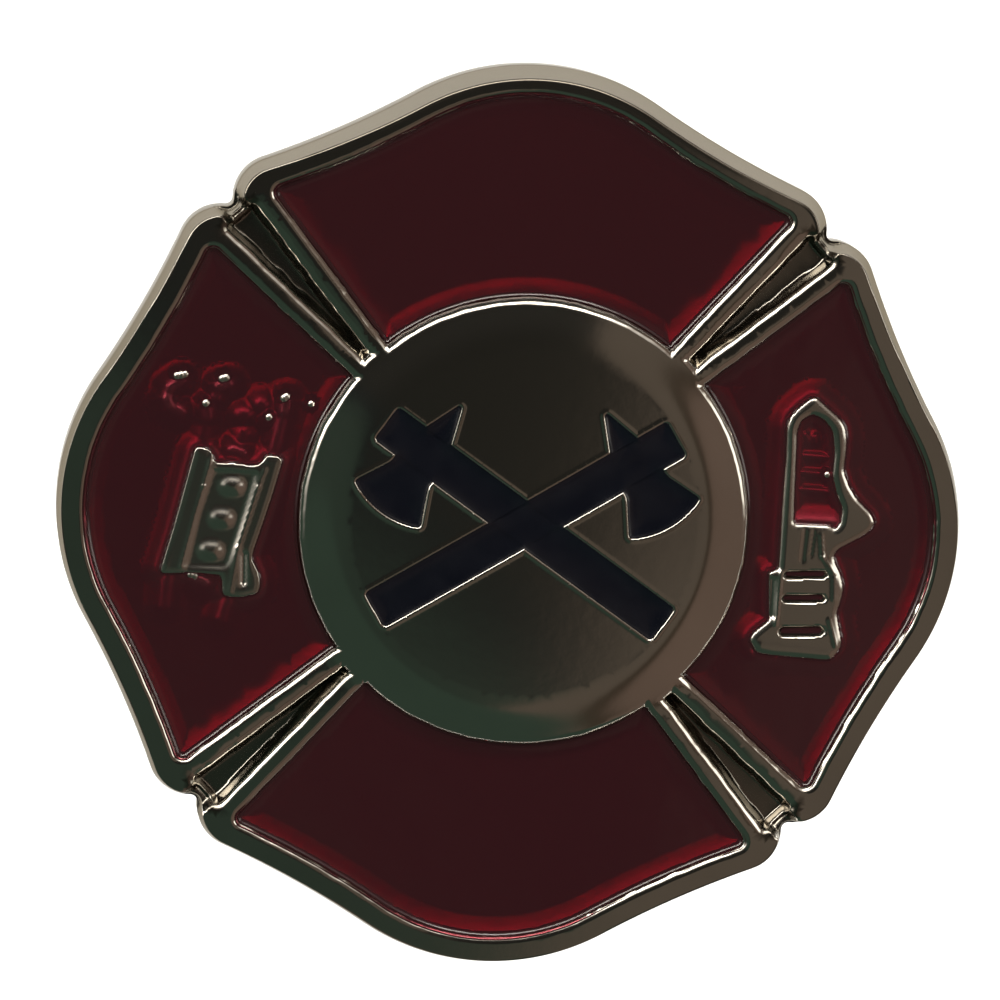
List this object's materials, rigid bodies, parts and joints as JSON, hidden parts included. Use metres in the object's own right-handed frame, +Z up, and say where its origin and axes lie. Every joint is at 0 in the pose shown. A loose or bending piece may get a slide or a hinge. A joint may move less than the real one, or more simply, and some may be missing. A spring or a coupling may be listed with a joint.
{
  "type": "fire department lapel pin",
  "caption": "Enamelled metal lapel pin in the shape of a fire service cross, with raised rims, a domed middle disc, a raised ladder and hydrant, and a post with its clutch.",
  "frame": {"origin": "middle of the clutch's flat back, on the surface that the pin lies on", "axes": "+Z up out of the badge's face, +Y to the top arm, +X to the right arm with the hydrant"},
  "size_m": [0.0254, 0.0254, 0.0101],
  "materials": {
    "plated_metal": "polished nickel plate, slightly dulled by wear",
    "red_enamel": "translucent dark red soft enamel, glossy",
    "black_enamel": "black soft enamel, glossy",
    "clutch_metal": "polished nickel plate"
  },
  "bodies": {
    "root": {"plate": "plated_metal", "enamel_top": "red_enamel", "enamel_right": "red_enamel", "enamel_bottom": "red_enamel", "enamel_left": "red_enamel", "emblem_enamel": "black_enamel", "clutch": "clutch_metal"}
  },
  "joints": []
}
